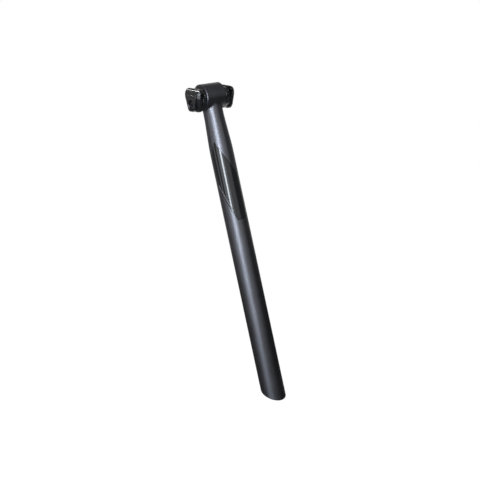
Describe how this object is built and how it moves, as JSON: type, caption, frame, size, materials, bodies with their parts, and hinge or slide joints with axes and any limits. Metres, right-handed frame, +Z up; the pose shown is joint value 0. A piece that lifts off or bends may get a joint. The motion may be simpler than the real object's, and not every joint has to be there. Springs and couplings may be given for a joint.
{
  "type": "bicycle seatpost",
  "caption": "Straight bicycle seatpost with a tapered neck and a cross barrel, where cradles and jaws grip the saddle rails under a cross bolt.",
  "frame": {"origin": "on the post's axis, 100 mm above the middle of the foot's oblique cut, the least insertion level", "axes": "+Z up the post to the saddle clamp, +X to the front of the bicycle, +Y to the rider's left"},
  "size_m": [0.0366, 0.0604, 0.4249],
  "materials": {
    "post_matte": "matte black, bead blasted and anodised, with a gloss panel at the front",
    "clamp_gloss": "gloss black forging",
    "fastener_steel": "dark plated steel"
  },
  "bodies": {
    "post": {"post": "post_matte"},
    "cradles": {"right_cradle": "clamp_gloss", "left_cradle": "clamp_gloss"},
    "right_jaw": {"right_jaw": "clamp_gloss", "bolt_washer": "fastener_steel"},
    "left_jaw": {"left_jaw": "clamp_gloss", "clamp_nut": "fastener_steel"},
    "clamp_bolt": {"clamp_bolt": "fastener_steel"}
  },
  "joints": [
    {"name": "saddle_tilt", "type": "hinge", "parent": "post", "child": "cradles", "pos_m": [0, 0, 0.2965], "axis": [0, 1, 0], "range_deg": [-25, 25]},
    {"name": "right_jaw_open", "type": "slide", "parent": "cradles", "child": "right_jaw", "axis": [0, -1, 0], "range_m": [0, 0.004]},
    {"name": "left_jaw_open", "type": "slide", "parent": "cradles", "child": "left_jaw", "axis": [0, 1, 0], "range_m": [0, 0.004]},
    {"name": "bolt_turn", "type": "hinge", "parent": "right_jaw", "child": "clamp_bolt", "pos_m": [-0.00234, 0, 0.28885], "axis": [0, -1, 0], "range_deg": [0, 2880]}
  ],
  "couplings": [
    {"joint": "left_jaw_open", "follows": "right_jaw_open", "ratio": 1},
    {"joint": "bolt_turn", "follows": "right_jaw_open", "rad_per_m": 12566}
  ]
}
